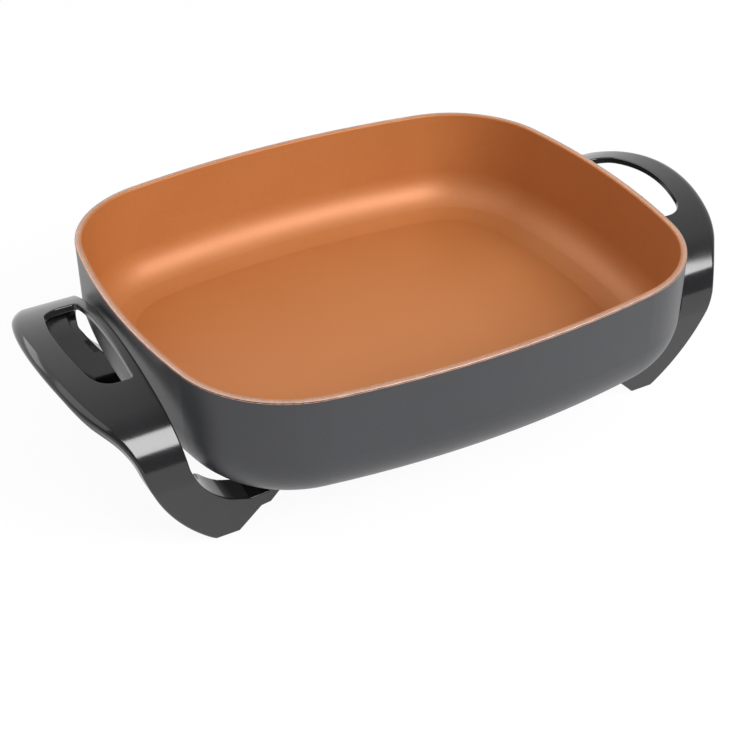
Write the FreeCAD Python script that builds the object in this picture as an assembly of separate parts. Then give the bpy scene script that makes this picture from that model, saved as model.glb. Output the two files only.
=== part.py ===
# Electric skillet: a rectangular cast pan on two moulded handles whose legs are its feet.
# Frame: origin on the table under the middle of the pan, +X along the long side, +Z up, mm.
import FreeCAD, Part
import math
import os

from FreeCAD import Vector

# Pan: eight tangent arcs make the rim, four gentle sides and four corners
pan_length = 380.0
pan_width = 315.5
long_side_radius = 689.0
short_side_radius = 474.0
corner_radius = 81.0
pan_height = 85.0
under_pan_clearance = 40.0
outside_draft = 0.8
inside_draft = 2.0
outer_bottom_radius = 40.0
rim_width = 4.2
cooking_depth = 75.0
inner_floor_radius = 30.0
coating_thickness = 0.4

# Heater loop cast into the thick ring of the floor
heater_half_width = 84.0
heater_left_reach = 126.0
heater_corner_radius = 40.0
heater_lead_radius = 18.0
sheath_radius = 3.6
sheath_wall = 0.7
wire_radius = 0.6
heater_height_in_floor = 5.0
underside_pocket_depth = 4.5
pocket_margin = 14.0
pocket_corner_radius = 25.0

# Electrical inlet under the right handle
pin_spacing = 26.6
pin_radius = 2.4
pin_length = 20.0
pin_neck_radius = 1.5
pin_neck_in_sheath = 7.0
inlet_drop = 7.5
lead_bend_radius = 13.0
lead_straight = 8.0
boss_face_x = 154.0
boss_length = 54.0
boss_side_wall = 9.0
boss_under_wall = 3.6
boss_edge_round = 3.0
sensor_bore_radius = 3.7
sensor_bore_depth = 45.0
insulator_radius = 5.2
insulator_length = 4.0

# Sheet steel guard round the pins
guard_sheet = 1.2
guard_reach = 27.0
guard_overlap = 16.0
guard_side_gap = 0.3
guard_top_gap = 0.3
guard_corner_radius = 2.0
guard_screw_radius = 1.9
guard_screw_length = 8.0
guard_head_radius = 3.6
guard_head_height = 2.4
guard_washer_radius = 4.6
guard_washer_thickness = 0.8
guard_screw_clearance = 0.2
guard_screw_spacing = 43.0
guard_screw_setback = 8.0

# Handle seen from the side: crown arc, shoulder arc, nearly upright legs
handle_drop = 10.0
crown_radius = 165.0
leg_half_span = 98.0
shoulder_height = 55.0
foot_half_span = 93.0
handle_skin = 4.5
crown_flange_depth = 6.0
shoulder_flange_depth = 9.0
leg_flange_depth = 20.0
rib_top_z = 45.0

# Handle seen from above: the bowed outer edge, its corners and its straight flanks
grip_reach = 248.5
grip_bow_radius = 200.0
grip_corner_radius = 80.0
grip_corner_offset = 30.0
grip_corner_turn = 36.0
grip_wall = 5.0

# Handle seen from the front: leg outline and the hook under the pan
handle_wall_gap = 2.7
foot_outer_x = 170.0
foot_inner_x = 154.5
waist_x = 214.5
waist_height = 65.0
leg_outer_radius = 124.0
waist_radius = 60.0
waist_turn = 23.0
leg_flange_wall = 4.5
hook_tip_x = 115.0
hook_pad_width = 14.0
hook_tip_thickness = 6.5
hook_valley_x = 134.0
hook_valley_z = 27.0
hook_rise_x = 147.0
hook_rise_z = 26.0
hook_under_x = 126.0
hook_under_z = 25.0
hook_heel_z = 16.7
hook_heel_start_x = 132.0
hook_heel_end_x = 139.0
leg_inner_lower = (158.0, 30.0)
leg_inner_middle = (175.3, 44.0)
leg_inner_upper = (186.0, 65.0)
sole_thickness = 6.0
hollow_start_x = 150.0

# Finger hole between the pan and the grip
hole_inner_x = 198.5
hole_outer_x = 228.5
hole_half_span = 48.0
hole_bow_radius = 145.0
hole_outer_round = 15.0
hole_inner_round = 3.0

# Handle fixings: a screw from below through the hook and a spacer into the pan
screw_x = 122.0
screw_y = 86.0
screw_radius = 2.5
screw_clearance = 0.2
screw_grip_in_pan = 7.0
screw_head_radius = 4.8
screw_head_height = 3.2
screw_washer_radius = 5.8
screw_washer_thickness = 1.0
screw_seat_depth = 7.0
spacer_radius = 6.5
spacer_thickness = 2.0
socket_radius = 1.5
socket_depth = 1.6

# Foot pads set into the soles of the legs
pad_proud = 0.8
pad_depth = 3.2
pad_length_x = 8.0
pad_length_y = 12.0
pad_corner_radius = 2.0
pad_gap = 0.15

# Heights that several pieces share
rim_z = under_pan_clearance + pan_height
floor_z = rim_z - cooking_depth
crown_z = rim_z - handle_drop
inlet_z = under_pan_clearance - inlet_drop
heater_z = under_pan_clearance + heater_height_in_floor
hook_pad_z = under_pan_clearance - spacer_thickness
half_length = pan_length / 2.0
half_width = pan_width / 2.0
pin_y = pin_spacing / 2.0

# Overshoot of cutting tools past the faces that they cut
spare = 1.0
long_spare = 2.0
head_round_share = 0.45
hexagon_sides = 6


def point(x, y, z=0.0):
    return Vector(x, y, z)


def arc(start, middle, end):
    return Part.Arc(start, middle, end).toShape()


def line(start, end):
    return Part.LineSegment(start, end).toShape()


def arc_about(centre, radius, start_angle, end_angle, plane="xy"):
    """Arc by centre, radius and two angles in degrees, in the named plane."""
    spots = []
    for angle in (start_angle, (start_angle + end_angle) / 2.0, end_angle):
        across = radius * math.cos(math.radians(angle))
        up = radius * math.sin(math.radians(angle))
        if plane == "xy":
            spots.append(centre + point(across, up, 0.0))
        elif plane == "xz":
            spots.append(centre + point(across, 0.0, up))
        else:
            spots.append(centre + point(0.0, across, up))
    return arc(*spots)


def post(radius, x, y, low, high):
    """Upright cylinder between two heights."""
    return Part.makeCylinder(radius, high - low, point(x, y, low))


def rod(radius, start_x, end_x, y, z):
    """Cylinder along X between two places."""
    return Part.makeCylinder(radius, end_x - start_x, point(start_x, y, z), point(1.0, 0.0, 0.0))


def block(low, high):
    size = high - low
    return Part.makeBox(size.x, size.y, size.z, low)


def filleted(solid, radius, wanted):
    """Round the edges that the test picks by their bounding box."""
    return solid.makeFillet(radius, [edge for edge in solid.Edges if wanted(edge.BoundBox)])


def is_upright(box):
    return box.XLength < 0.001 and box.YLength < 0.001


def fused(shapes):
    joined = shapes[0]
    for shape in shapes[1:]:
        joined = joined.fuse(shape)
    return joined.removeSplitter()


def cut_all(solid, tools):
    for tool in tools:
        solid = solid.cut(tool)
    return solid


def corner_centre():
    """Centre of a rim corner arc, tangent inside a long side arc and a short side arc."""
    long_centre = point(0.0, half_width - long_side_radius)
    short_centre = point(half_length - short_side_radius, 0.0)
    to_long = long_side_radius - corner_radius
    to_short = short_side_radius - corner_radius
    between = short_centre - long_centre
    span = between.Length
    along = (to_long ** 2 - to_short ** 2 + span ** 2) / (2.0 * span)
    aside = math.sqrt(to_long ** 2 - along ** 2)
    unit = between * (1.0 / span)
    normal = point(unit.y, -unit.x)
    return long_centre + unit * along + normal * aside


def rim_arcs():
    """The rim as eight arcs in order: centre, radius, start angle and end angle."""
    corner = corner_centre()
    long_centre = point(0.0, half_width - long_side_radius)
    short_centre = point(half_length - short_side_radius, 0.0)
    to_long = corner - long_centre
    to_short = corner - short_centre
    steep = math.degrees(math.atan2(to_long.y, to_long.x))
    shallow = math.degrees(math.atan2(to_short.y, to_short.x))
    arcs = []
    for quarter in range(4):
        sign_x = 1.0 if quarter in (0, 3) else -1.0
        sign_y = 1.0 if quarter in (0, 1) else -1.0
        centre = point(corner.x * sign_x, corner.y * sign_y)
        if quarter in (0, 2):
            side = (point(short_centre.x * sign_x, 0.0), short_side_radius, -shallow, shallow)
            bend = (centre, corner_radius, shallow, steep)
        else:
            side = (point(0.0, long_centre.y * sign_y), long_side_radius, steep - 90.0, 90.0 - steep)
            bend = (centre, corner_radius, 90.0 - steep, 90.0 - shallow)
        for middle, radius, start, end in (side, bend):
            arcs.append((middle, radius, start + 90.0 * quarter, end + 90.0 * quarter))
    return arcs


def rim_wire(inset, z):
    """The rim outline, shrunk evenly by inset, at height z."""
    edges = []
    for centre, radius, start, end in rim_arcs():
        edges.append(arc_about(centre + point(0.0, 0.0, z), radius - inset, start, end))
    return Part.Wire(edges)


def bowl_solid(rim_inset, top_z, bottom_z, draft, bottom_radius):
    """A drafted block with the rim's outline, set in by rim_inset at the rim, and a rolled bottom."""
    lean = math.radians(draft)
    roll_z = bottom_z + bottom_radius
    roll_inset = rim_inset + (rim_z - roll_z) * math.tan(lean) + bottom_radius / math.cos(lean)
    top_inset = rim_inset + (rim_z - top_z) * math.tan(lean)
    halfway = (lean + math.pi / 2.0) / 2.0

    def on_roll(angle):
        return roll_inset - bottom_radius * math.cos(angle), roll_z - bottom_radius * math.sin(angle)

    profile = [(top_inset, top_z), on_roll(lean), on_roll(halfway), (roll_inset, bottom_z)]
    faces = [Part.Face(rim_wire(top_inset, top_z)), Part.Face(rim_wire(roll_inset, bottom_z))]
    for centre, radius, start, end in rim_arcs():
        outward = point(math.cos(math.radians(start)), math.sin(math.radians(start)))
        spots = [centre + outward * (radius - inset) + point(0.0, 0.0, z) for inset, z in profile]
        wall = line(spots[0], spots[1])
        roll = arc(spots[1], spots[2], spots[3])
        for edge in (wall, roll):
            faces.append(edge.revolve(centre, point(0.0, 0.0, 1.0), end - start))
    shell = Part.Shell(faces)
    shell.sewShape()
    solid = Part.Solid(shell)
    if solid.Volume < 0.0:
        solid.reverse()
    return solid


def heater_path(trim):
    """Centre line of the heater loop, from the front lead round to the back lead."""
    rise = heater_z - inlet_z
    turn = math.acos(1.0 - rise / (2.0 * lead_bend_radius))
    run = lead_bend_radius * math.sin(turn)
    bend_x = boss_face_x - lead_straight
    lead_x = bend_x - 2.0 * run
    right_x = lead_x - heater_lead_radius
    left_x = -heater_left_reach
    outer_y = heater_half_width
    half_turn = turn / 2.0
    lift = lead_bend_radius * (1.0 - math.cos(half_turn))
    half_run = lead_bend_radius * math.sin(half_turn)
    lead_round = heater_lead_radius
    side_y = pin_y + lead_round
    lead_diagonal = lead_round * math.sqrt(0.5)
    round_ = heater_corner_radius
    diagonal = round_ * math.sqrt(0.5)
    half = [
        line(point(boss_face_x - trim, pin_y, inlet_z), point(bend_x, pin_y, inlet_z)),
        arc(
            point(bend_x, pin_y, inlet_z),
            point(bend_x - half_run, pin_y, inlet_z + lift),
            point(bend_x - run, pin_y, inlet_z + rise / 2.0),
        ),
        arc(
            point(bend_x - run, pin_y, inlet_z + rise / 2.0),
            point(lead_x + half_run, pin_y, heater_z - lift),
            point(lead_x, pin_y, heater_z),
        ),
        arc(
            point(lead_x, pin_y, heater_z),
            point(lead_x - lead_diagonal, side_y - lead_diagonal, heater_z),
            point(right_x, side_y, heater_z),
        ),
        line(point(right_x, side_y, heater_z), point(right_x, outer_y - round_, heater_z)),
        arc(
            point(right_x, outer_y - round_, heater_z),
            point(right_x - round_ + diagonal, outer_y - round_ + diagonal, heater_z),
            point(right_x - round_, outer_y, heater_z),
        ),
        line(point(right_x - round_, outer_y, heater_z), point(left_x + round_, outer_y, heater_z)),
        arc(
            point(left_x + round_, outer_y, heater_z),
            point(left_x + round_ - diagonal, outer_y - round_ + diagonal, heater_z),
            point(left_x, outer_y - round_, heater_z),
        ),
    ]
    middle = line(point(left_x, outer_y - round_, heater_z), point(left_x, round_ - outer_y, heater_z))
    other = [edge.mirror(point(0.0, 0.0), point(0.0, 1.0, 0.0)) for edge in reversed(half)]
    return Part.Wire(Part.__sortEdges__(half + [middle] + other)), right_x


def heater_rod(radius, trim=0.0):
    """A round bar of the given radius along the heater loop."""
    path = heater_path(trim)[0]
    start = point(boss_face_x - trim, pin_y, inlet_z)
    circle = Part.Wire(Part.makeCircle(radius, start, point(1.0, 0.0, 0.0)))
    return path.makePipeShell([circle], True, False)


def terminal_boss():
    half = pin_y + sheath_radius + boss_side_wall
    low = inlet_z - sensor_bore_radius - boss_under_wall
    body = block(point(boss_face_x - boss_length, -half, low), point(boss_face_x, half, heater_z))
    return filleted(body, boss_edge_round, is_upright), half, low


def underside_pocket():
    """Shallow recess inside the heater loop, which leaves a thin floor in the middle."""
    right_x = heater_path(0.0)[1] - pocket_margin
    left_x = -heater_left_reach + pocket_margin
    half = heater_half_width - pocket_margin
    low = point(left_x, -half, under_pan_clearance - spare)
    high = point(right_x, half, under_pan_clearance + underside_pocket_depth)
    return filleted(block(low, high), pocket_corner_radius, is_upright)


def screw_places(side):
    """The two handle screws of one side: +1 is right and -1 is left."""
    return [(side * screw_x, -screw_y), (side * screw_x, screw_y)]


def guard_screw_places():
    x = boss_face_x - guard_screw_setback
    return [(x, -guard_screw_spacing / 2.0), (x, guard_screw_spacing / 2.0)]


def guard_bottom():
    return terminal_boss()[2] - guard_side_gap - guard_sheet


def pan_casting():
    """Cast aluminium pan with a thick heated floor, the terminal boss and screw holes."""
    outside = bowl_solid(
        0.0, rim_z - coating_thickness, under_pan_clearance, outside_draft, outer_bottom_radius
    )
    boss, _, boss_low = terminal_boss()
    body = fused([outside, boss])
    inside = bowl_solid(rim_width, rim_z + spare, floor_z, inside_draft, inner_floor_radius)
    tools = [inside, underside_pocket(), heater_rod(sheath_radius)]
    tools.append(rod(sensor_bore_radius, boss_face_x - sensor_bore_depth, boss_face_x + spare, 0.0, inlet_z))
    for side in (-1.0, 1.0):
        for x, y in screw_places(side):
            tools.append(
                post(screw_radius, x, y, under_pan_clearance - spare, under_pan_clearance + screw_grip_in_pan)
            )
    thread_top = guard_bottom() - guard_washer_thickness + guard_screw_length
    for x, y in guard_screw_places():
        tools.append(post(guard_screw_radius, x, y, boss_low - spare, thread_top))
    return cut_all(body, tools)


def cooking_surface_coating():
    """Thin non-stick skin that lines the pan and covers the top of the rim."""
    lining = bowl_solid(rim_width, rim_z - coating_thickness, floor_z, inside_draft, inner_floor_radius)
    rim_cap = Part.Face(rim_wire(0.0, rim_z - coating_thickness)).extrude(point(0.0, 0.0, coating_thickness))
    hollow = bowl_solid(
        rim_width + coating_thickness,
        rim_z + spare,
        floor_z + coating_thickness,
        inside_draft,
        inner_floor_radius - coating_thickness,
    )
    return rim_cap.fuse(lining).cut(hollow).removeSplitter()


def heater_sheath():
    return heater_rod(sheath_radius).cut(heater_rod(sheath_radius - sheath_wall))


def heater_insulation():
    """Packed mineral powder that fills the sheath round the wire and the pin necks."""
    tools = [heater_rod(wire_radius, pin_neck_in_sheath)]
    for y in (-pin_y, pin_y):
        tools.append(rod(pin_neck_radius, boss_face_x - pin_neck_in_sheath, boss_face_x + spare, y, inlet_z))
    return cut_all(heater_rod(sheath_radius - sheath_wall), tools)


def heating_wire():
    return heater_rod(wire_radius, pin_neck_in_sheath)


def terminal_pin(y):
    """Contact pin with the thinner neck that runs back into the sheath."""
    root = boss_face_x + insulator_length
    neck = rod(pin_neck_radius, boss_face_x - pin_neck_in_sheath, root, y, inlet_z)
    contact = rod(pin_radius, root, root + pin_length, y, inlet_z)
    tip = contact.Edges
    ends = [edge for edge in tip if edge.BoundBox.XMin > root + pin_length - 0.01]
    return fused([contact.makeChamfer(pin_radius / 3.0, ends), neck])


def terminal_insulator(y):
    """Ceramic bush that closes the sheath round the pin's neck."""
    end = boss_face_x + insulator_length
    bush = rod(insulator_radius, boss_face_x, end, y, inlet_z)
    return bush.cut(rod(pin_neck_radius, boss_face_x - spare, end + spare, y, inlet_z))


def terminal_guard():
    """Folded steel shroud: a channel round the boss that becomes a box round the pins."""
    boss_half, boss_low = terminal_boss()[1:]
    inner_half = boss_half + guard_side_gap
    inner_low = boss_low - guard_side_gap
    top = under_pan_clearance - guard_top_gap
    start_x = boss_face_x - guard_overlap
    end_x = boss_face_x + guard_reach
    outer_half = inner_half + guard_sheet
    outer = block(point(start_x, -outer_half, inner_low - guard_sheet), point(end_x, outer_half, top))
    outer = filleted(outer, guard_corner_radius, lambda box: box.YLength < 0.001 and box.ZLength < 0.001)
    room = block(
        point(start_x - spare, -inner_half, inner_low), point(end_x + spare, inner_half, top - guard_sheet)
    )
    over_boss = block(
        point(start_x - spare, -inner_half, inner_low),
        point(boss_face_x + guard_side_gap, inner_half, top + spare),
    )
    tools = [room, over_boss]
    bore = guard_screw_radius + guard_screw_clearance
    for x, y in guard_screw_places():
        tools.append(post(bore, x, y, guard_bottom() - spare, inner_low + spare))
    return cut_all(outer, tools)


def guard_washers():
    low = guard_bottom() - guard_washer_thickness
    bore = guard_screw_radius + guard_screw_clearance
    washers = []
    for x, y in guard_screw_places():
        washer = post(guard_washer_radius, x, y, low, guard_bottom())
        washers.append(washer.cut(post(bore, x, y, low - spare, guard_bottom() + spare)))
    return Part.makeCompound(washers)


def headed_screw(shank_radius, head_radius, head_height, x, y, seat_z, tip_z):
    """Screw driven upwards: a domed head under seat_z, with a hexagon socket, and a plain shank."""
    head = post(head_radius, x, y, seat_z - head_height, seat_z)
    rim = [edge for edge in head.Edges if edge.BoundBox.ZMax < seat_z - head_height + 0.01]
    head = head.makeFillet(head_height * head_round_share, rim)
    low = seat_z - head_height - spare
    corners = []
    for side in range(hexagon_sides + 1):
        angle = math.radians(360.0 / hexagon_sides * side)
        corners.append(point(x + socket_radius * math.cos(angle), y + socket_radius * math.sin(angle), low))
    socket = Part.Face(Part.makePolygon(corners)).extrude(point(0.0, 0.0, spare + socket_depth))
    return fused([head, post(shank_radius, x, y, seat_z, tip_z)]).cut(socket)


def guard_screws():
    seat = guard_bottom() - guard_washer_thickness
    tip = seat + guard_screw_length
    screws = []
    for x, y in guard_screw_places():
        screws.append(headed_screw(guard_screw_radius, guard_head_radius, guard_head_height, x, y, seat, tip))
    return Part.makeCompound(screws)


def side_profile(depth, leg_depth):
    """Arch of the handle seen from the side, set in by depth on the crown and leg_depth on the legs."""
    crown_centre_z = crown_z - crown_radius
    radius = crown_radius - depth
    span = leg_half_span - leg_depth
    foot = foot_half_span - leg_depth
    rise = shoulder_height - crown_centre_z
    bend = (radius ** 2 - span ** 2 - rise ** 2) / (2.0 * (radius - span))
    bend_y = span - bend
    start = 90.0 - math.degrees(math.atan2(bend_y, rise))
    crown_centre = point(0.0, 0.0, crown_centre_z)
    edges = [arc_about(crown_centre, radius, start, 180.0 - start, "yz")]
    low = pad_proud - long_spare if depth > 0.0 else pad_proud
    slope = (span - foot) / shoulder_height
    foot_y = foot + slope * low
    for side in (-1.0, 1.0):
        centre = point(0.0, side * bend_y, shoulder_height)
        if side > 0.0:
            edges.append(arc_about(centre, bend, 0.0, start, "yz"))
        else:
            edges.append(arc_about(centre, bend, 180.0 - start, 180.0, "yz"))
        edges.append(line(point(0.0, side * span, shoulder_height), point(0.0, side * foot_y, low)))
    edges.append(line(point(0.0, -foot_y, low), point(0.0, foot_y, low)))
    return Part.Face(Part.Wire(Part.__sortEdges__(edges)))


def side_prism(depth, leg_depth):
    face = side_profile(depth, leg_depth)
    face.translate(point(hook_tip_x - long_spare, 0.0, 0.0))
    return face.extrude(point(grip_reach - hook_tip_x + 2.0 * long_spare, 0.0, 0.0))


def plan_prism(inset):
    """The bowed outer edge of the handle seen from above, as an upright block."""
    bow_centre_x = grip_reach - grip_bow_radius
    corner_x = bow_centre_x + math.sqrt((grip_bow_radius - grip_corner_radius) ** 2 - grip_corner_offset ** 2)
    bow_end = math.degrees(math.atan2(grip_corner_offset, corner_x - bow_centre_x))
    bow = arc_about(point(bow_centre_x, 0.0), grip_bow_radius - inset, -bow_end, bow_end)
    radius = grip_corner_radius - inset
    back_x = hook_tip_x - spare
    edges = [bow]
    turn = math.radians(grip_corner_turn)
    corner_end_y = grip_corner_offset + radius * math.sin(turn)
    flank_y = leg_half_span + long_spare
    flank_x = corner_x + radius * math.cos(turn) - (flank_y - corner_end_y) * math.tan(turn)
    for side in (-1.0, 1.0):
        centre = point(corner_x, side * grip_corner_offset)
        edges.append(arc_about(centre, radius, side * bow_end, side * grip_corner_turn))
        corner_end = point(corner_x + radius * math.cos(turn), side * corner_end_y)
        flank_end = point(flank_x, side * flank_y)
        edges.append(line(corner_end, flank_end))
        edges.append(line(flank_end, point(back_x, side * flank_y)))
    edges.append(line(point(back_x, -flank_y), point(back_x, flank_y)))
    face = Part.Face(Part.Wire(Part.__sortEdges__(edges)))
    return face.extrude(point(0.0, 0.0, rim_z))


def front_profile():
    """Handle seen from the front: curved leg, waist, and the hook that reaches under the pan."""
    chord = point(waist_x - foot_outer_x, 0.0, waist_height)
    half_chord = chord.Length / 2.0
    sag = leg_outer_radius - math.sqrt(leg_outer_radius ** 2 - half_chord ** 2)
    outward = point(chord.z, 0.0, -chord.x).normalize()
    foot = point(foot_outer_x, 0.0, 0.0)
    waist = point(waist_x, 0.0, waist_height)
    bulge = foot + chord * 0.5 + outward * sag
    leg_centre = foot + chord * 0.5 + outward * (sag - leg_outer_radius)
    to_waist = (waist - leg_centre).normalize()
    waist_centre = waist + to_waist * waist_radius
    start = 180.0 + math.degrees(math.atan2(to_waist.z, to_waist.x))
    waist_arc = arc_about(waist_centre, waist_radius, start, start - waist_turn, "xz")
    waist_end = waist_arc.Vertexes[1].Point
    if (waist_end - waist).Length < 0.01:
        waist_end = waist_arc.Vertexes[0].Point
    inner_top_x = half_length + handle_wall_gap
    upper = point(leg_inner_upper[0], 0.0, leg_inner_upper[1])
    lower = point(leg_inner_lower[0], 0.0, leg_inner_lower[1])
    middle = point(leg_inner_middle[0], 0.0, leg_inner_middle[1])
    tip_low = point(hook_tip_x, 0.0, hook_pad_z - hook_tip_thickness)
    corners = [
        waist_end,
        point(grip_reach + long_spare, 0.0, waist_end.z),
        point(grip_reach + long_spare, 0.0, rim_z),
        point(inner_top_x, 0.0, rim_z),
        point(inner_top_x, 0.0, crown_z),
        upper,
    ]
    edges = [arc(foot, bulge, waist), waist_arc]
    for first, second in zip(corners, corners[1:]):
        edges.append(line(first, second))
    edges.append(arc(upper, middle, lower))
    corners = [
        lower,
        point(hook_rise_x, 0.0, hook_rise_z),
        point(hook_valley_x, 0.0, hook_valley_z),
        point(hook_tip_x + hook_pad_width, 0.0, hook_pad_z),
        point(hook_tip_x, 0.0, hook_pad_z),
        tip_low,
        point(hook_under_x, 0.0, hook_under_z),
        point(hook_heel_start_x, 0.0, hook_heel_z),
        point(hook_heel_end_x, 0.0, hook_heel_z),
        point(foot_inner_x, 0.0, 0.0),
        foot,
    ]
    for first, second in zip(corners, corners[1:]):
        edges.append(line(first, second))
    return Part.Face(Part.Wire(Part.__sortEdges__(edges)))


def front_prism(face):
    """The front profile carried through the whole depth of the handle."""
    half = leg_half_span + long_spare
    moved = face.copy()
    moved.translate(point(0.0, -half, 0.0))
    return moved.extrude(point(0.0, 2.0 * half, 0.0))


def finger_hole():
    """Upright cutter: straight on the pan's side and bowed on the grip's side."""
    half = hole_half_span
    drop = hole_bow_radius - math.sqrt(hole_bow_radius ** 2 - half ** 2)
    near = point(hole_outer_x - drop, -half)
    far = point(hole_outer_x - drop, half)
    edges = [
        arc(near, point(hole_outer_x, 0.0), far),
        line(far, point(hole_inner_x, half)),
        line(point(hole_inner_x, half), point(hole_inner_x, -half)),
        line(point(hole_inner_x, -half), near),
    ]
    cutter = Part.Face(Part.Wire(edges)).extrude(point(0.0, 0.0, rim_z))
    middle_x = (hole_inner_x + hole_outer_x) / 2.0
    cutter = filleted(cutter, hole_outer_round, lambda box: is_upright(box) and box.XMin > middle_x)
    return filleted(cutter, hole_inner_round, lambda box: is_upright(box) and box.XMin < middle_x)


def right_handle():
    """Moulded handle: crown with a finger hole, and two channel legs hooked under the pan."""
    face = front_profile()
    body = side_prism(0.0, 0.0).common(plan_prism(0.0)).common(front_prism(face))
    inner_face = face.makeOffset2D(-leg_flange_wall)
    hollow = side_prism(handle_skin, handle_skin).common(plan_prism(grip_wall))
    hollow = hollow.common(front_prism(inner_face))
    keep_out = block(
        point(hook_tip_x - spare, -leg_half_span, -spare), point(hollow_start_x, leg_half_span, rim_z)
    )
    sole = block(point(hook_tip_x, -leg_half_span, -spare), point(grip_reach, leg_half_span, sole_thickness))
    hollow = hollow.cut(keep_out).cut(sole)
    above_ribs = block(
        point(hook_tip_x - long_spare, -leg_half_span, rib_top_z),
        point(grip_reach + long_spare, leg_half_span, rim_z),
    )
    core = side_prism(crown_flange_depth, leg_flange_depth)
    wide_core = side_prism(crown_flange_depth, shoulder_flange_depth).common(above_ribs)
    body = cut_all(body, [hollow, core, wide_core, finger_hole()])
    tools = []
    for x, y in screw_places(1.0):
        tools.append(post(screw_radius + screw_clearance, x, y, 0.0, rim_z))
        tools.append(post(screw_washer_radius + screw_clearance, x, y, 0.0, hook_pad_z - screw_seat_depth))
    for x, y in pad_places(1.0):
        tools.append(pad_block(x, y, pad_gap, -spare, pad_depth))
    return cut_all(body, tools)


def pad_places(side):
    """Middle of each sole on one side."""
    x = (foot_outer_x + foot_inner_x) / 2.0
    y = foot_half_span - leg_flange_depth / 2.0
    return [(side * x, -y), (side * x, y)]


def pad_block(x, y, gap, low, high):
    half_x = pad_length_x / 2.0 + gap
    half_y = pad_length_y / 2.0 + gap
    body = block(point(x - half_x, y - half_y, low), point(x + half_x, y + half_y, high))
    return filleted(body, pad_corner_radius + gap, is_upright)


def foot_pad(side, index):
    x, y = pad_places(side)[index]
    return pad_block(x, y, 0.0, 0.0, pad_depth)


def mirrored(shape):
    return shape.mirror(point(0.0, 0.0, 0.0), point(1.0, 0.0, 0.0))


def handle_screws(side):
    seat = hook_pad_z - screw_seat_depth - screw_washer_thickness
    tip = under_pan_clearance + screw_grip_in_pan
    screws = []
    for x, y in screw_places(side):
        screws.append(headed_screw(screw_radius, screw_head_radius, screw_head_height, x, y, seat, tip))
    return Part.makeCompound(screws)


def rings(side, outer, low, high):
    """Two washers or spacers with clearance round the handle screws of one side."""
    made = []
    for x, y in screw_places(side):
        ring = post(outer, x, y, low, high)
        made.append(ring.cut(post(screw_radius + screw_clearance, x, y, low - spare, high + spare)))
    return Part.makeCompound(made)


def handle_washers(side):
    top = hook_pad_z - screw_seat_depth
    return rings(side, screw_washer_radius, top - screw_washer_thickness, top)


def heat_spacers(side):
    return rings(side, spacer_radius, hook_pad_z, under_pan_clearance)


def build_nodes():
    right = right_handle()
    nodes = {
        "pan_casting": pan_casting(),
        "cooking_surface_coating": cooking_surface_coating(),
        "right_handle": right,
        "left_handle": mirrored(right),
        "heater_sheath": heater_sheath(),
        "heater_insulation": heater_insulation(),
        "heating_wire": heating_wire(),
        "terminal_pin_front": terminal_pin(-pin_y),
        "terminal_pin_back": terminal_pin(pin_y),
        "terminal_insulator_front": terminal_insulator(-pin_y),
        "terminal_insulator_back": terminal_insulator(pin_y),
        "terminal_guard": terminal_guard(),
        "guard_washers": guard_washers(),
        "guard_screws": guard_screws(),
    }
    for name, side in (("left", -1.0), ("right", 1.0)):
        nodes[name + "_handle_screws"] = handle_screws(side)
        nodes[name + "_handle_washers"] = handle_washers(side)
        nodes[name + "_heat_spacers"] = heat_spacers(side)
        nodes["front_" + name + "_foot"] = foot_pad(side, 0)
        nodes["back_" + name + "_foot"] = foot_pad(side, 1)
    return nodes


def main():
    os.makedirs("parts", exist_ok=True)
    for name, shape in build_nodes().items():
        solids = len(shape.Solids)
        print(name, "valid", shape.isValid(), "solids", solids, "volume", round(shape.Volume, 1))
        shape.exportStep("parts/" + name + ".step")


main()
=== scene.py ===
import math

import bmesh
import bpy
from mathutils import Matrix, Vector


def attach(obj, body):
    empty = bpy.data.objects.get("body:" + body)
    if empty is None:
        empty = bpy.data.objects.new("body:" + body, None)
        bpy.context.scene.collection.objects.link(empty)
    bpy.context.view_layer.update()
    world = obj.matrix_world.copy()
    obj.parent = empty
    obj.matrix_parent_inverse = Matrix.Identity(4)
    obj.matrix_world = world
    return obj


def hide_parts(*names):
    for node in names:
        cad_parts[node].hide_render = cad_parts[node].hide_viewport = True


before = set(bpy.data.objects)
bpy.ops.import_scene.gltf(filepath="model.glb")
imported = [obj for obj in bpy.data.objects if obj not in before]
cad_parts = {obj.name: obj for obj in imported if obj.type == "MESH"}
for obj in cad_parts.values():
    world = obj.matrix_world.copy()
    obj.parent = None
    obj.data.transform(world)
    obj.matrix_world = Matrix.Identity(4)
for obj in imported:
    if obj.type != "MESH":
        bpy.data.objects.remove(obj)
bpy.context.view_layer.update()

# ---------------------------------------------------------------------------
# Photographer's table: where the picture is taken from, the white paper under
# the skillet and the soft lamps round it.
# ---------------------------------------------------------------------------
mm = 0.001
collection = bpy.context.scene.collection

camera_data = bpy.data.cameras.new("camera")
camera_data.lens = 79.48
camera_data.sensor_width = 36.0
camera = bpy.data.objects.new("camera", camera_data)
camera.location = Vector((-473.4, -819.5, 668.3)) * mm
looks_at = Vector((-83.116, -131.505, 125.0)) * mm
camera.rotation_euler = (looks_at - camera.location).to_track_quat("-Z", "Y").to_euler()
collection.objects.link(camera)
bpy.context.scene.camera = camera
bpy.context.scene.view_settings.view_transform = "Standard"


def soft_box(name, place, aim, width, height, watts):
    """Rectangular lamp that faces a point of the object."""
    data = bpy.data.lights.new(name, "AREA")
    data.shape = "RECTANGLE"
    data.size = width
    data.size_y = height
    data.energy = watts
    lamp = bpy.data.objects.new(name, data)
    lamp.location = place
    lamp.rotation_euler = (Vector(aim) - Vector(place)).to_track_quat("-Z", "Y").to_euler()
    collection.objects.link(lamp)


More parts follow.
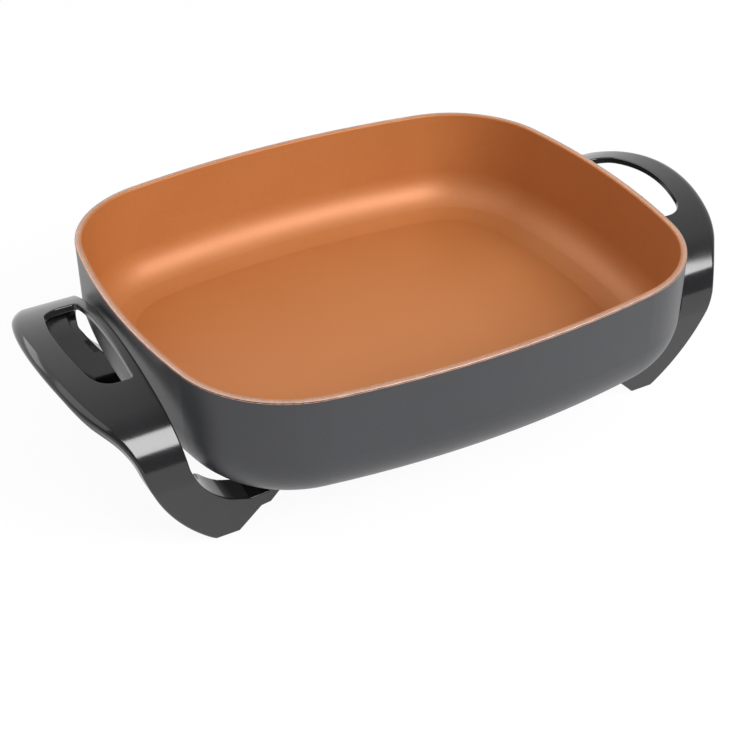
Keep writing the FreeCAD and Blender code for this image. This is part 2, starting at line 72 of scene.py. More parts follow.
soft_box("front_right_box", (0.66, -1.48, 1.34), (0.0, -0.05, 0.08), 1.6, 0.95, 58.0)
soft_box("back_left_box", (-0.95, 1.75, 1.35), (0.0, 0.0, 0.08), 1.6, 0.9, 10.0)
soft_box("left_top_box", (-1.30, -0.25, 1.95), (0.0, 0.0, 0.08), 2.3, 2.0, 18.0)

world = bpy.data.worlds.new("white_room")
bpy.context.scene.world = world
world.use_nodes = True
nodes, links = world.node_tree.nodes, world.node_tree.links
nodes.clear()
out = nodes.new("ShaderNodeOutputWorld")
seen_white = nodes.new("ShaderNodeBackground")
seen_white.inputs["Color"].default_value = (1.0, 1.0, 1.0, 1.0)
room_fill = nodes.new("ShaderNodeBackground")
room_fill.inputs["Color"].default_value = (1.0, 1.0, 1.0, 1.0)
room_fill.inputs["Strength"].default_value = 0.42
mirrored_room = nodes.new("ShaderNodeBackground")
mirrored_room.inputs["Color"].default_value = (1.0, 1.0, 1.0, 1.0)
which_way = nodes.new("ShaderNodeTexCoord")
how_far_back = nodes.new("ShaderNodeSeparateXYZ")
lighter_behind = nodes.new("ShaderNodeMapRange")
lighter_behind.inputs["From Min"].default_value = -0.50
lighter_behind.inputs["From Max"].default_value = 0.60
lighter_behind.inputs["To Min"].default_value = 0.06
lighter_behind.inputs["To Max"].default_value = 1.0
links.new(which_way.outputs["Generated"], how_far_back.inputs[0])
links.new(how_far_back.outputs["Y"], lighter_behind.inputs["Value"])
links.new(lighter_behind.outputs["Result"], mirrored_room.inputs["Strength"])
which_ray = nodes.new("ShaderNodeLightPath")
camera_or_glass = nodes.new("ShaderNodeMath")
camera_or_glass.operation = "MAXIMUM"
pick = nodes.new("ShaderNodeMixShader")
pick_mirror = nodes.new("ShaderNodeMixShader")
links.new(which_ray.outputs["Is Camera Ray"], camera_or_glass.inputs[0])
links.new(which_ray.outputs["Is Transmission Ray"], camera_or_glass.inputs[1])
links.new(which_ray.outputs["Is Glossy Ray"], pick_mirror.inputs[0])
links.new(room_fill.outputs[0], pick_mirror.inputs[1])
links.new(mirrored_room.outputs[0], pick_mirror.inputs[2])
links.new(camera_or_glass.outputs[0], pick.inputs[0])
links.new(pick_mirror.outputs[0], pick.inputs[1])
links.new(seen_white.outputs[0], pick.inputs[2])
links.new(pick.outputs[0], out.inputs["Surface"])

floor_mesh = bpy.data.meshes.new("paper_floor")
paper = bmesh.new()
bmesh.ops.create_circle(paper, cap_ends=True, radius=6.0, segments=96)
paper.to_mesh(floor_mesh)
floor = bpy.data.objects.new("paper_floor", floor_mesh)
collection.objects.link(floor)
floor_material = bpy.data.materials.new("white_paper")
floor_material.use_nodes = True
nodes, links = floor_material.node_tree.nodes, floor_material.node_tree.links
nodes.clear()
out = nodes.new("ShaderNodeOutputMaterial")
paper_matt = nodes.new("ShaderNodeBsdfDiffuse")
paper_matt.inputs["Color"].default_value = (0.82, 0.82, 0.82, 1.0)
paper_glow = nodes.new("ShaderNodeEmission")
paper_glow.inputs["Strength"].default_value = 1.0
which_ray = nodes.new("ShaderNodeLightPath")
glow_share = nodes.new("ShaderNodeMath")
glow_share.operation = "MULTIPLY"
glow_share.inputs[1].default_value = 0.94
camera_or_mirror = nodes.new("ShaderNodeMath")
camera_or_mirror.operation = "MAXIMUM"
pick = nodes.new("ShaderNodeMixShader")
links.new(which_ray.outputs["Is Camera Ray"], camera_or_mirror.inputs[0])
links.new(which_ray.outputs["Is Glossy Ray"], camera_or_mirror.inputs[1])
links.new(camera_or_mirror.outputs[0], glow_share.inputs[0])
links.new(glow_share.outputs[0], pick.inputs[0])
links.new(paper_matt.outputs[0], pick.inputs[1])
links.new(paper_glow.outputs[0], pick.inputs[2])
links.new(pick.outputs[0], out.inputs["Surface"])
floor.data.materials.append(floor_material)

# ---------------------------------------------------------------------------
# Cooking surface: thin copper-coloured non-stick skin, sprayed and baked over
# the inside of the pan and over the inner part of its rim.
# ---------------------------------------------------------------------------
long_side = (0.0, 157.75 - 689.0, 689.0)
short_side = (190.0 - 474.0, 0.0, 474.0)
corner = (103.09, 67.93, 81.0)
rim_height = 125.0
rim_width = 4.2


def rim_spots():
    """Arc centre, radius and outward direction all the way round the rim."""
    steep = math.atan2(corner[1] - long_side[1], corner[0] - long_side[0])
    shallow = math.atan2(corner[1] - short_side[1], corner[0] - short_side[0])
    quarter = []
    for (x, y, radius), start, end, steps in (
        (short_side, 0.0, shallow, 12), (corner, shallow, steep, 26), (long_side, steep, math.pi / 2.0, 22),
    ):
        for step in range(steps):
            angle = start + (end - start) * step / steps
            quarter.append((x, y, radius, math.cos(angle), math.sin(angle)))
    quarter.append((*long_side, 0.0, 1.0))
    half = quarter + [(-x, y, radius, -ux, uy) for x, y, radius, ux, uy in reversed(quarter[:-1])]
    return half + [(x, -y, radius, ux, -uy) for x, y, radius, ux, uy in reversed(half[1:-1])]


def swept_round_rim(name, profile, closed_loop):
    """Sweep a profile of insets and heights round the rim; an open one is capped at both ends."""
    shape = bmesh.new()
    rings = []
    spots = rim_spots()
    for inset, height in profile:
        ring = []
        for x, y, radius, ux, uy in spots:
            reach = radius - inset
            ring.append(shape.verts.new(Vector((x + ux * reach, y + uy * reach, height)) * mm))
        rings.append(ring)
    if closed_loop:
        rings.append(rings[0])
    count = len(spots)
    for low, high in zip(rings, rings[1:]):
        for spot in range(count):
            after = (spot + 1) % count
            shape.faces.new((low[spot], low[after], high[after], high[spot]))
    if not closed_loop:
        shape.faces.new(list(reversed(rings[0])))
        shape.faces.new(rings[-1])
    bmesh.ops.recalc_face_normals(shape, faces=shape.faces)
    for face in shape.faces:
        face.smooth = True
    mesh = bpy.data.meshes.new(name)
    shape.to_mesh(mesh)
    piece = bpy.data.objects.new(name, mesh)
    collection.objects.link(piece)
    return piece


def turned(centre_inset, centre_height, radius, start, end, steps):
    """Points of a quarter turn in the profile; 0 degrees points away from the pan, 90 up."""
    made = []
    for step in range(steps + 1):
        angle = math.radians(start + (end - start) * step / steps)
        made.append((centre_inset - radius * math.cos(angle), centre_height + radius * math.sin(angle)))
    return made


wall_lean = math.radians(2.0)
roll_radius = 29.6
floor_height = 50.4
roll_height = floor_height + roll_radius
wall_inset = rim_width + 0.4
roll_inset = wall_inset + (rim_height - roll_height) * math.tan(wall_lean) + roll_radius / math.cos(wall_lean)
lining_profile = [(roll_inset, floor_height)]
lining_profile += turned(roll_inset, roll_height, roll_radius, -88.0, -2.0, 26)
lining_profile += [(wall_inset + 0.02, rim_height - 1.4)]
lining_profile += [(wall_inset - 0.03, rim_height - 0.8), (wall_inset - 0.25, rim_height - 0.3)]
lining_profile += [(wall_inset - 0.8, rim_height), (3.4, rim_height), (3.4, rim_height - 0.3)]
lining_profile += [(wall_inset - 0.5, rim_height - 0.45), (wall_inset - 0.3, rim_height - 3.0)]
lining_profile += [(inset - 0.3, height) for inset, height in reversed(
    turned(roll_inset, roll_height, roll_radius, -60.0, -2.0, 10))]
lining_profile += [(roll_inset, floor_height - 0.3)]
cooking_surface = swept_round_rim("cooking_surface", lining_profile, False)
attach(cooking_surface, "root")
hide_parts("cooking_surface_coating")

grain = bpy.data.node_groups.new("fine_grain", "ShaderNodeTree")
for label, kind in (("Size", "NodeSocketFloat"), ("Clouds", "NodeSocketFloat")):
    grain.interface.new_socket(label, in_out="INPUT", socket_type=kind)
for label in ("Speck", "Cloud", "Height"):
    grain.interface.new_socket(label, in_out="OUTPUT", socket_type="NodeSocketFloat")
grain_in = grain.nodes.new("NodeGroupInput")
grain_out = grain.nodes.new("NodeGroupOutput")
place = grain.nodes.new("ShaderNodeTexCoord")
speck_noise = grain.nodes.new("ShaderNodeTexNoise")
speck_noise.inputs["Detail"].default_value = 3.0
cloud_noise = grain.nodes.new("ShaderNodeTexNoise")
cloud_noise.inputs["Detail"].default_value = 4.0
grain.links.new(place.outputs["Object"], speck_noise.inputs["Vector"])
grain.links.new(place.outputs["Object"], cloud_noise.inputs["Vector"])
grain.links.new(grain_in.outputs["Size"], speck_noise.inputs["Scale"])
grain.links.new(grain_in.outputs["Clouds"], cloud_noise.inputs["Scale"])
speck_edge = grain.nodes.new("ShaderNodeMapRange")
speck_edge.inputs["From Min"].default_value = 0.40
speck_edge.inputs["From Max"].default_value = 0.62
grain.links.new(speck_noise.outputs["Fac"], speck_edge.inputs["Value"])
grain.links.new(speck_edge.outputs["Result"], grain_out.inputs["Speck"])
grain.links.new(cloud_noise.outputs["Fac"], grain_out.inputs["Cloud"])
grain.links.new(speck_noise.outputs["Fac"], grain_out.inputs["Height"])


def finish_with_grain(name, dark, light, rough, size, clouds, bump, metal, coat=0.0, index=1.5):
    """Material whose colour and roughness drift with the grain group, with a fine bump."""
    material = bpy.data.materials.new(name)
    material.use_nodes = True
    nodes, links = material.node_tree.nodes, material.node_tree.links
    shader = nodes["Principled BSDF"]
    shader.inputs["Metallic"].default_value = metal
    shader.inputs["Coat Weight"].default_value = coat
    shader.inputs["IOR"].default_value = index
    grains = nodes.new("ShaderNodeGroup")
    grains.node_tree = grain
    grains.inputs["Size"].default_value = size
    grains.inputs["Clouds"].default_value = clouds
    blend = nodes.new("ShaderNodeMath")
    blend.operation = "MULTIPLY_ADD"
    blend.inputs[1].default_value = 0.5
    drift = nodes.new("ShaderNodeMath")
    drift.operation = "MULTIPLY"
    drift.inputs[1].default_value = 0.5
    links.new(grains.outputs["Cloud"], drift.inputs[0])
    links.new(grains.outputs["Speck"], blend.inputs[0])
    links.new(drift.outputs[0], blend.inputs[2])
    colour = nodes.new("ShaderNodeMix")
    colour.data_type = "RGBA"
    colour.inputs["A"].default_value = (*dark, 1.0)
    colour.inputs["B"].default_value = (*light, 1.0)
    links.new(blend.outputs[0], colour.inputs["Factor"])
    links.new(colour.outputs["Result"], shader.inputs["Base Color"])
    roughness = nodes.new("ShaderNodeMapRange")
    roughness.inputs["To Min"].default_value = rough[0]
    roughness.inputs["To Max"].default_value = rough[1]
    links.new(grains.outputs["Cloud"], roughness.inputs["Value"])
    links.new(roughness.outputs["Result"], shader.inputs["Roughness"])
    relief = nodes.new("ShaderNodeBump")
    relief.inputs["Strength"].default_value = bump
    relief.inputs["Distance"].default_value = 0.0002
    links.new(grains.outputs["Height"], relief.inputs["Height"])
    links.new(relief.outputs["Normal"], shader.inputs["Normal"])
    return material


copper = finish_with_grain(
    "copper_nonstick", dark=(0.36, 0.118, 0.028), light=(0.46, 0.172, 0.052), rough=(0.42, 0.54),
    size=2600.0, clouds=14.0, bump=0.25, metal=0.22,
)
cooking_surface.data.materials.append(copper)

# ---------------------------------------------------------------------------
# Rim edge: the casting's machined lip outside the coating, bare metal with a
# little copper mist over it.
# ---------------------------------------------------------------------------
edge_profile = [(3.45, rim_height - 0.02), (0.9, rim_height - 0.03), (0.35, rim_height - 0.25)]
edge_profile += [(0.05, rim_height - 0.7), (-0.05, rim_height - 1.3), (0.3, rim_height - 1.3)]
edge_profile += [(3.45, rim_height - 0.35)]
rim_edge = swept_round_rim("rim_edge", edge_profile, True)
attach(rim_edge, "root")
rim_metal = finish_with_grain(
    "bare_rim", dark=(0.38, 0.20, 0.13), light=(0.66, 0.42, 0.32), rough=(0.35, 0.55),
    size=1500.0, clouds=60.0, bump=0.5, metal=0.7,
)
rim_edge.data.materials.append(rim_metal)

# ---------------------------------------------------------------------------
# Pan: one aluminium casting, painted satin charcoal outside, with the boss
# for the terminals and the heater ring under its floor.
# ---------------------------------------------------------------------------
charcoal = finish_with_grain(
    "satin_charcoal", dark=(0.030, 0.0305, 0.034), light=(0.048, 0.049, 0.054), rough=(0.32, 0.44),
    size=2200.0, clouds=9.0, bump=0.25, metal=0.25,
)


def refinish(node, material):
    """Give a CAD node its finish in every slot."""
    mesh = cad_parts[node].data
    for slot in range(len(mesh.materials)):
        mesh.materials[slot] = material
    if not mesh.materials:
        mesh.materials.append(material)


refinish("pan_casting", charcoal)

# ---------------------------------------------------------------------------
# Handles: two glossy black phenolic mouldings. Each is one bent channel: a
# crown with a finger hole, shoulders, and two legs whose hooks carry the pan.
# The channel is drawn flat, as run along the arch, reach and depth, then bent.
# ---------------------------------------------------------------------------
crown_radius = 165.0
crown_low = 115.0 - crown_radius
shoulder_height = 55.0
leg_span = 98.0
foot_span = 93.0
shoulder_rise = shoulder_height - crown_low
shoulder_radius = (crown_radius ** 2 - leg_span ** 2 - shoulder_rise ** 2) / (2.0 * (crown_radius - leg_span))
shoulder_middle = leg_span - shoulder_radius
crown_turn = math.atan2(shoulder_middle, shoulder_rise)
crown_run = crown_radius * crown_turn
shoulder_run = crown_run + shoulder_radius * (math.pi / 2.0 - crown_turn)
leg_lean = math.atan((leg_span - foot_span) / shoulder_height)
sole_height = 0.8
# Outer edge seen from above: bow, corner and straight flank
bow_middle_x = 48.5
bow_radius = 200.0
bow_end_y = 50.0
bow_corner = (164.69, 30.0)
bow_corner_radius = 80.0
flank_start = (229.41, 77.02)
flank_slope = 0.7265
# Leg seen from the front: outer arc, waist arc and the inner edge beside the pan
waist_height = 65.0
leg_middle = (95.22, 98.92)
leg_radius = 124.0
waist_middle = (272.2, 48.59)
waist_radius = 60.0
inner_waist_x = 186.0
inner_top_run = 6.7
inner_top_rise = 50.0


def arch(run, on_leg=None):
    """Place and outward direction, in Y and Z, at a run along the arch from the crown's middle."""
    side = 1.0 if run >= 0.0 else -1.0
    run = abs(run)
    if on_leg is None:
        on_leg = run > shoulder_run
    if on_leg:
        down = run - shoulder_run
        y = leg_span - down * math.sin(leg_lean)
        z = shoulder_height - down * math.cos(leg_lean)
        return side * y, z, side * math.cos(leg_lean), -math.sin(leg_lean)
    if run < crown_run:
        angle = run / crown_radius
        y, z = crown_radius * math.sin(angle), crown_low + crown_radius * math.cos(angle)
    else:
        angle = crown_turn + (run - crown_run) / shoulder_radius
        y = shoulder_middle + shoulder_radius * math.sin(angle)
        z = shoulder_height + shoulder_radius * math.cos(angle)
    return side * y, z, side * math.sin(angle), math.cos(angle)


def run_at(height):
    """The run, on the back half of the arch, at which its outside has this height."""
    if height < shoulder_height:
        return shoulder_run + (shoulder_height - height) / math.cos(leg_lean)
    lift = min(1.0, (height - shoulder_height) / shoulder_radius)
    run = crown_run + shoulder_radius * (math.acos(lift) - crown_turn)
    if run < crown_run:
        run = crown_radius * math.acos(min(1.0, (height - crown_low) / crown_radius))
    return run


def outer_reach(run):
    """Outer edge: the bow seen from above, and the curved leg seen from the front."""
    y, z = arch(run)[:2]
    y = abs(y)
    bow = bow_middle_x + math.sqrt(bow_radius ** 2 - min(y, bow_end_y) ** 2)
    if y > flank_start[1]:
        bow = flank_start[0] - flank_slope * (y - flank_start[1])
    elif y > bow_end_y:
        bow = bow_corner[0] + math.sqrt(bow_corner_radius ** 2 - (y - bow_corner[1]) ** 2)
    if z <= waist_height:
        return min(bow, leg_middle[0] + math.sqrt(leg_radius ** 2 - (z - leg_middle[1]) ** 2))
    room = waist_radius ** 2 - (z - waist_middle[1]) ** 2
    return min(bow, waist_middle[0] - math.sqrt(room)) if room > 0.0 else bow


def inner_reach(run):
    """Inner edge, beside the pan: straight, then an arc that follows the pan's rolled bottom."""
    z = arch(run)[1]
    if z > waist_height:
        return inner_waist_x + (z - waist_height) * inner_top_run / inner_top_rise
    return under_pan_x + math.sqrt(under_pan_radius ** 2 - (z - under_pan_z) ** 2)


def circle_through(a, b, c):
    """Centre and radius of the circle through three points."""
    d = 2.0 * (a[0] * (b[1] - c[1]) + b[0] * (c[1] - a[1]) + c[0] * (a[1] - b[1]))
    sa, sb, sc = a[0] ** 2 + a[1] ** 2, b[0] ** 2 + b[1] ** 2, c[0] ** 2 + c[1] ** 2
    x = (sa * (b[1] - c[1]) + sb * (c[1] - a[1]) + sc * (a[1] - b[1])) / d
    y = (sa * (c[0] - b[0]) + sb * (a[0] - c[0]) + sc * (b[0] - a[0])) / d
    return x, y, math.hypot(a[0] - x, a[1] - y)


under_pan_x, under_pan_z, under_pan_radius = circle_through((186.0, 65.0), (175.3, 44.0), (158.0, 30.0))


def rounded(points, radius, steps=5):
    """Polyline with its inner corners turned by small arcs."""
    made = [Vector(points[0])]
    for before, here, after in zip(points, points[1:], points[2:]):
        before, here, after = Vector(before), Vector(here), Vector(after)
        to_before = (before - here).normalized()
        to_after = (after - here).normalized()
        half = to_before.angle(to_after) / 2.0
        back = min(radius / math.tan(half), (before - here).length * 0.48, (after - here).length * 0.48)
        turn_radius = back * math.tan(half)
        centre = here + (to_before + to_after).normalized() * (turn_radius / math.sin(half))
        start = here + to_before * back - centre
        end = here + to_after * back - centre
        for step in range(steps + 1):
            share = step / steps
            made.append(centre + (start.slerp(end, share) if start.angle(end) > 1e-4 else start))
    made.append(Vector(points[-1]))
    return made


outer_steps = 84
inner_steps = 70
hook_corner_round = 1.4


def handle_outline():
    """Closed outline of the channel laid flat: run and reach, with the edge rolls for each point."""
    sole_run = run_at(sole_height)
    outer = []
    for step in range(outer_steps):
        run = sole_run * step / outer_steps
        outer.append(Vector((run, outer_reach(run))))
    hook = [(154.0, 0.8), (139.0, 16.7), (132.0, 16.7), (126.0, 25.0), (115.0, 31.5)]
    hook += [(115.0, 38.0), (129.0, 38.0), (134.0, 27.0), (147.0, 26.0), (158.0, 30.0)]
    corners = [tuple(outer[-1]), (sole_run, outer_reach(sole_run) - 0.3)]
    corners += [(run_at(z), x) for x, z in hook]
    inner = []
    inner_run = run_at(31.5)
    for step in range(inner_steps + 1):
        run = inner_run * (1.0 - step / inner_steps)
        inner.append(Vector((run, inner_reach(run))))
    corners.append(tuple(inner[0]))
    turned_part = rounded(corners, hook_corner_round)[1:-1]
    half = outer + turned_part + inner
    kinds = [True] * len(outer) + [False] * (len(turned_part) + len(inner))
    back = list(zip(half, kinds))
    front = [(Vector((-point.x, point.y)), kind) for point, kind in back[1:-1]]
    return back + list(reversed(front))


def outward_at(points, index):
    """Outward direction of a closed outline that runs with its inside on the right."""
    before, after = points[index - 1], points[(index + 1) % len(points)]
    along = (after - before).normalized()
    return Vector((-along.y, along.x))


def smooth_share(value, low, high):
    share = min(1.0, max(0.0, (value - low) / (high - low)))
    return share * share * (3.0 - 2.0 * share)


skin = 4.5
flat_depth = 20.0
lip_round = 0.8
SMOOTH, LIP, PLAIN = 0, 1, 2


def add_ring(shape, layer, spots, normals):
    ring = []
    for spot, normal in zip(spots, normals):
        vertex = shape.verts.new(spot)
        vertex[layer] = normal
        ring.append(vertex)
    return ring


def join_rings(shape, tag_layer, first, second, tag):
    count = len(first)
    for index in range(count):
        after = (index + 1) % count
        face = shape.faces.new((first[index], first[after], second[after], second[index]))
        face[tag_layer] = tag


def fill_between(shape, tag_layer, rings, tag):
    """Flat cap bounded by closed rings."""
    edges = []
    for ring in rings:
        for index, vertex in enumerate(ring):
            other = ring[(index + 1) % len(ring)]
            edge = shape.edges.get((vertex, other)) or shape.edges.new((vertex, other))
            edges.append(edge)
    made = bmesh.ops.triangle_fill(shape, edges=edges, use_beauty=True, use_dissolve=False, normal=(0, 0, 1))
    for item in made["geom"]:
        if isinstance(item, bmesh.types.BMFace):
            item[tag_layer] = tag


hole_bow_x = 83.5
hole_bow_radius = 145.0
hole_bow_turn = 14.71
# Corners of the hole: reach and Y of the middle, and the radius
hole_outer = (209.24, 33.0, 15.0)
hole_inner = (201.5, 45.0, 3.0)


def finger_hole_outline():
    """Closed outline of the finger hole laid flat: bowed on the grip's side."""
    points = []
    for angle in range(-10, 11, 2):
        a = math.radians(angle * hole_bow_turn / 10.0)
        points.append((hole_bow_x + hole_bow_radius * math.cos(a), hole_bow_radius * math.sin(a)))
    quarter = []
    for step in range(1, 10):
        a = math.radians(hole_bow_turn + (90.0 - hole_bow_turn) * step / 9.0)
        quarter.append((hole_outer[0] + hole_outer[2] * math.cos(a), hole_outer[1] + hole_outer[2] * math.sin(a)))
    for step in range(5):
        a = math.radians(90.0 + 90.0 * step / 4.0)
        quarter.append((hole_inner[0] + hole_inner[2] * math.cos(a), hole_inner[1] + hole_inner[2] * math.sin(a)))
    points += quarter
    points += [(x, -y) for x, y in reversed(quarter)]
    return [Vector((crown_radius * math.asin(y / crown_radius), x)) for x, y in points]


sole_top = 7.0
outer_wall = 5.2
inner_wall = 4.8


def hollow_outline():
    """Closed outline of the hollow under the skin, from near one sole to near the other."""
    outer = []
    end_run = run_at(sole_top)
    steps = 60
    for step in range(steps + 1):
        run = end_run * step / steps
        outer.append(Vector((run, outer_reach(run) - outer_wall)))
    lower = [Vector((run_at(z), x)) for z, x in ((sole_top, 156.5), (13.0, 151.0), (23.0, 151.0))]
    inner = []
    start_run = run_at(34.0)
    for step in range(steps + 1):
        run = start_run * (1.0 - step / steps)
        inner.append(Vector((run, inner_reach(run) + inner_wall)))
    half = outer + lower + inner
    return half + [Vector((-point.x, point.y)) for point in reversed(half[1:-1])]


# Depth of the flanges: on the crown, what the shoulders add, and what the ribs above the hooks add
crown_flange = 6.0
shoulder_gain = 3.0
rib_gain = 11.0
rib_top = 45.0


def bent(spot, on_leg=None):
    """From the flat drawing to the arch, in metres."""
    run, reach, depth = spot
    ribs = run_at(rib_top)
    flange = crown_flange + shoulder_gain * smooth_share(abs(run), 45.0, 85.0)
    flange += rib_gain * smooth_share(abs(run), ribs - 3.0, ribs + 2.0)
    straight_end = flat_depth - lip_round
    if depth > straight_end:
        depth = flange - (flat_depth - depth)
    elif depth > skin:
        depth = skin + (depth - skin) * (flange - lip_round - skin) / (straight_end - skin)
    y, z, out_y, out_z = arch(run, on_leg)
    return Vector((reach, y - depth * out_y, z - depth * out_z)) * mm


# Rounding of the edges: wide on the crown's outer edge, small on the legs and beside the pan
crown_roll_inset = 6.5
crown_roll_depth = 4.3
leg_roll = 1.8
inner_roll = 1.2
bend_cuts = 58


def handle_piece(name, side):
    shape = bmesh.new()
    layer = shape.verts.layers.float_vector.new("lean")
    tag_layer = shape.faces.layers.int.new("tag")
    outline = handle_outline()
    points = [point for point, _ in outline]
    outward = [outward_at(points, index) for index in range(len(points))]
    rolls = []
    for point, outer in outline:
        share = smooth_share(abs(point.x), 55.0, 118.0) if outer else 1.0
        small = leg_roll if outer else inner_roll
        inset = crown_roll_inset + (small - crown_roll_inset) * share
        rolls.append((inset, crown_roll_depth + (small - crown_roll_depth) * share))
    rings = []
    steps = 9
    for step in range(steps + 1):
        angle = math.pi / 2.0 * step / steps
        spots, normals = [], []
        for point, out_dir, (inset, depth) in zip(points, outward, rolls):
            moved = point - out_dir * inset * (1.0 - math.sin(angle))
            spots.append((moved.x, moved.y, depth * (1.0 - math.cos(angle))))
            side_part, up_part = math.sin(angle) / inset, math.cos(angle) / depth
            length = math.hypot(side_part, up_part)
            normals.append((out_dir.x * side_part / length, out_dir.y * side_part / length, -up_part / length))
        rings.append(add_ring(shape, layer, spots, normals))
    for angle in (0.0, 30.0, 60.0, 90.0):
        turn = math.radians(angle)
        spots, normals = [], []
        for point, out_dir in zip(points, outward):
            moved = point - out_dir * lip_round * (1.0 - math.cos(turn))
            spots.append((moved.x, moved.y, flat_depth - lip_round * (1.0 - math.sin(turn))))
            normals.append((out_dir.x * math.cos(turn), out_dir.y * math.cos(turn), math.sin(turn)))
        rings.append(add_ring(shape, layer, spots, normals))
    for first, second in zip(rings, rings[1:]):
        join_rings(shape, tag_layer, first, second, SMOOTH)

    hole = finger_hole_outline()
    hole_out = [-outward_at(hole, index) for index in range(len(hole))]
    hole_rings = []
    for radius, level, edge in ((1.0, 0.0, 1.0), (0.6, skin, -1.0)):
        angles = (0.0, 30.0, 60.0, 90.0) if edge > 0.0 else (90.0, 60.0, 30.0, 0.0)
        for angle in angles:
            turn = math.radians(angle)
            spots, normals = [], []
            for point, out_dir in zip(hole, hole_out):
                moved = point - out_dir * radius * (1.0 - math.sin(turn))
                spots.append((moved.x, moved.y, level + edge * radius * (1.0 - math.cos(turn))))
                normals.append(
                    (out_dir.x * math.sin(turn), out_dir.y * math.sin(turn), -edge * math.cos(turn))
                )
            hole_rings.append(add_ring(shape, layer, spots, normals))
    for first, second in zip(hole_rings, hole_rings[1:]):
        join_rings(shape, tag_layer, first, second, SMOOTH)

    hollow = hollow_outline()
    hollow_rings = []
    for level in (skin, flat_depth):
        spots = [(point.x, point.y, level) for point in hollow]
        hollow_rings.append(add_ring(shape, layer, spots, [(0.0, 0.0, 0.0)] * len(hollow)))
    join_rings(shape, tag_layer, hollow_rings[0], hollow_rings[1], PLAIN)
    fill_between(shape, tag_layer, [rings[0], hole_rings[0]], SMOOTH)
    fill_between(shape, tag_layer, [hollow_rings[0], hole_rings[-1]], PLAIN)
    fill_between(shape, tag_layer, [rings[-1], hollow_rings[1]], LIP)

    cuts = [shoulder_run * index / float(bend_cuts) for index in range(-bend_cuts, bend_cuts + 1)]
    for run in cuts:
        everything = shape.verts[:] + shape.edges[:] + shape.faces[:]
        bmesh.ops.bisect_plane(
            shape, geom=everything, dist=1e-5, plane_co=(run, 0.0, 0.0), plane_no=(1.0, 0.0, 0.0)
        )
    wanted = {}
    shape.faces.index_update()
    for face in shape.faces:
        face.smooth = True
        on_leg = abs(face.calc_center_median().x) > shoulder_run
        for vertex in face.verts:
            lean = vertex[layer]
            if face[tag_layer] == LIP:
                lean = Vector((0.0, 0.0, 1.0))
            if face[tag_layer] == PLAIN or lean.length < 0.1:
                continue
            out_y, out_z = arch(vertex.co.x, on_leg)[2:]
            along = Vector((0.0, out_z, -out_y))
            outwards = Vector((0.0, out_y, out_z))
            turned_lean = Vector((lean.y, 0.0, 0.0)) + along * lean.x - outwards * lean.z
            wanted[face.index, vertex] = turned_lean.normalized()
    for vertex in shape.verts:
        vertex.co = bent(vertex.co)
    if side < 0.0:
        for vertex in shape.verts:
            vertex.co.x = -vertex.co.x
        for normal in wanted.values():
            normal.x = -normal.x
    bmesh.ops.recalc_face_normals(shape, faces=shape.faces)
    if shape.calc_volume(signed=True) < 0.0:
        bmesh.ops.reverse_faces(shape, faces=shape.faces)
    normals = []
    for face in shape.faces:
        face.normal_update()
        for loop in face.loops:
            normals.append(wanted.get((face.index, loop.vert), face.normal).copy())
    mesh = bpy.data.meshes.new(name)
    shape.to_mesh(mesh)
    mesh.normals_split_custom_set(normals)
    piece = bpy.data.objects.new(name, mesh)
    collection.objects.link(piece)
    return piece


phenolic = finish_with_grain(
    "glossy_phenolic", dark=(0.010, 0.010, 0.011), light=(0.016, 0.016, 0.017), rough=(0.09, 0.17),
    size=900.0, clouds=30.0, bump=0.02, metal=0.0, index=1.55,
)
for name, side in (("left", -1.0), ("right", 1.0)):
    moulding = handle_piece(name + "_handle_moulding", side)
    moulding.data.materials.append(phenolic)
    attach(moulding, "root")
    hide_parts(name + "_handle")

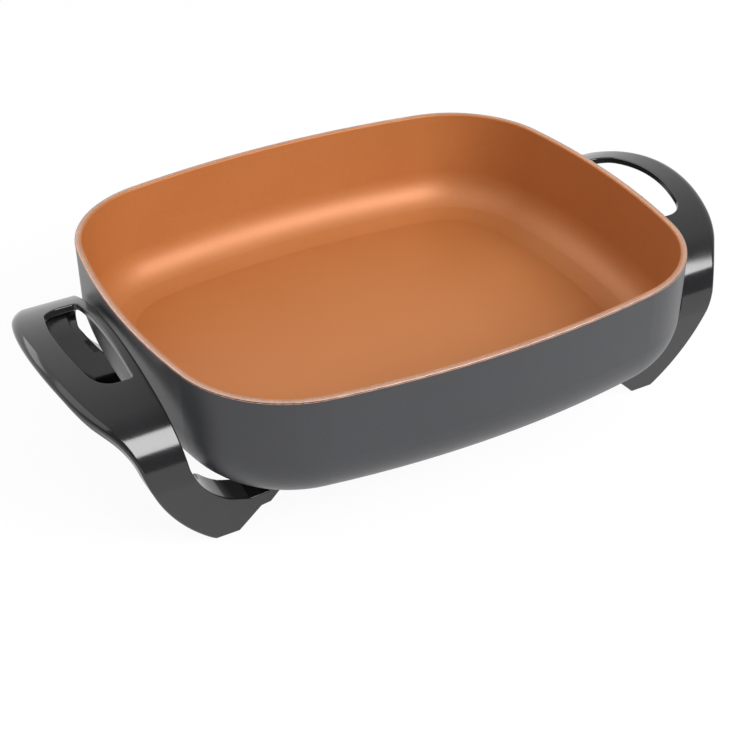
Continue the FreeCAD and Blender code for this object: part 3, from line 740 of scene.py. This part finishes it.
# ---------------------------------------------------------------------------
# Fixings: zinc plated screws and washers, and fibre spacers that keep the
# handles off the hot pan.
# ---------------------------------------------------------------------------
zinc = finish_with_grain(
    "zinc_plate", dark=(0.42, 0.42, 0.43), light=(0.60, 0.60, 0.61), rough=(0.22, 0.38),
    size=1800.0, clouds=80.0, bump=0.1, metal=1.0,
)
fibre = finish_with_grain(
    "fibre_spacer", dark=(0.10, 0.085, 0.07), light=(0.17, 0.15, 0.12), rough=(0.7, 0.9),
    size=1600.0, clouds=90.0, bump=0.5, metal=0.0,
)
for side in ("left", "right"):
    refinish(side + "_handle_screws", zinc)
    refinish(side + "_handle_washers", zinc)
    refinish(side + "_heat_spacers", fibre)

# ---------------------------------------------------------------------------
# Feet: rubber pads pushed into the soles of the legs.
# ---------------------------------------------------------------------------
rubber = finish_with_grain(
    "foot_rubber", dark=(0.018, 0.018, 0.018), light=(0.035, 0.035, 0.035), rough=(0.75, 0.95),
    size=1400.0, clouds=70.0, bump=0.6, metal=0.0,
)
for place_name in ("front_left", "back_left", "front_right", "back_right"):
    refinish(place_name + "_foot", rubber)

# ---------------------------------------------------------------------------
# Heater and inlet: steel sheath with its powder and wire cast into the floor,
# ceramic bushes, plated pins, and a folded steel guard with its two screws.
# ---------------------------------------------------------------------------
steel = finish_with_grain(
    "sheath_steel", dark=(0.22, 0.21, 0.20), light=(0.34, 0.33, 0.32), rough=(0.3, 0.5),
    size=1700.0, clouds=60.0, bump=0.3, metal=1.0,
)
mineral = finish_with_grain(
    "mineral_powder", dark=(0.62, 0.60, 0.56), light=(0.78, 0.76, 0.72), rough=(0.8, 0.95),
    size=2500.0, clouds=80.0, bump=0.6, metal=0.0,
)
plating = finish_with_grain(
    "terminal_plating", dark=(0.62, 0.60, 0.55), light=(0.74, 0.72, 0.66), rough=(0.15, 0.28),
    size=1900.0, clouds=90.0, bump=0.1, metal=1.0,
)
ceramic = finish_with_grain(
    "bush_ceramic", dark=(0.72, 0.70, 0.65), light=(0.84, 0.82, 0.78), rough=(0.3, 0.45),
    size=1500.0, clouds=50.0, bump=0.2, metal=0.0,
)
guard_steel = finish_with_grain(
    "guard_steel", dark=(0.34, 0.34, 0.35), light=(0.50, 0.50, 0.51), rough=(0.25, 0.42),
    size=1500.0, clouds=45.0, bump=0.2, metal=1.0,
)
refinish("heater_sheath", steel)
refinish("heater_insulation", mineral)
refinish("heating_wire", steel)
for end in ("front", "back"):
    refinish("terminal_pin_" + end, plating)
    refinish("terminal_insulator_" + end, ceramic)
refinish("terminal_guard", guard_steel)
refinish("guard_washers", zinc)
refinish("guard_screws", zinc)
